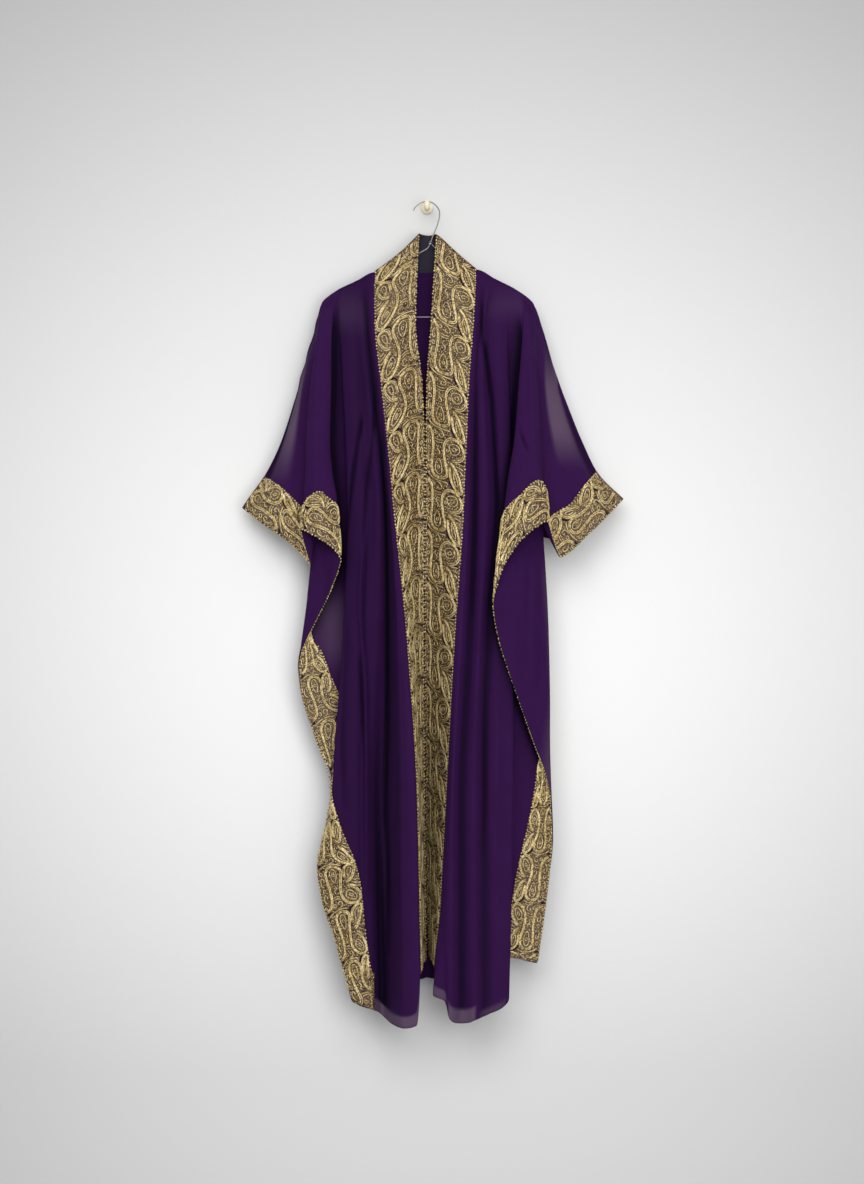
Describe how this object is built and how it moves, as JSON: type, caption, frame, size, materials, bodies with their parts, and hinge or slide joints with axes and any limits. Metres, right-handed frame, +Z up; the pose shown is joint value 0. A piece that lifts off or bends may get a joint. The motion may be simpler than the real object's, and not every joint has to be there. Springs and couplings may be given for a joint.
{
  "type": "open abaya on a hanger",
  "caption": "Open-fronted purple chiffon abaya with wide gold paisley bands on its front edges, cuffs and side edges, hanging from a wire hanger on a wall peg.",
  "frame": {"origin": "centre of the wall peg's flat back, on the wall", "axes": "+Z up; the garment's front faces -Y and the wall lies on the +Y side; +X is to the right as seen from the front"},
  "size_m": [0.7688, 0.1506, 1.6535],
  "materials": {
    "chiffon": "matte chiffon",
    "gold_embroidery": "couched metallic cord",
    "neck_lining": "satin",
    "hanger_wire": "galvanised",
    "peg_plastic": "satin"
  },
  "bodies": {
    "root": {"back_cuff_band_left": "gold_embroidery", "back_cuff_band_right": "gold_embroidery", "back_panel": "chiffon", "cuff_band_left": "gold_embroidery", "cuff_band_right": "gold_embroidery", "front_band_left": "gold_embroidery", "front_band_right": "gold_embroidery", "front_panel_left": "chiffon", "front_panel_right": "chiffon", "hanger": "hanger_wire", "neck_band": "neck_lining", "side_band_left": "gold_embroidery", "side_band_right": "gold_embroidery", "wall_peg": "peg_plastic"}
  },
  "joints": []
}
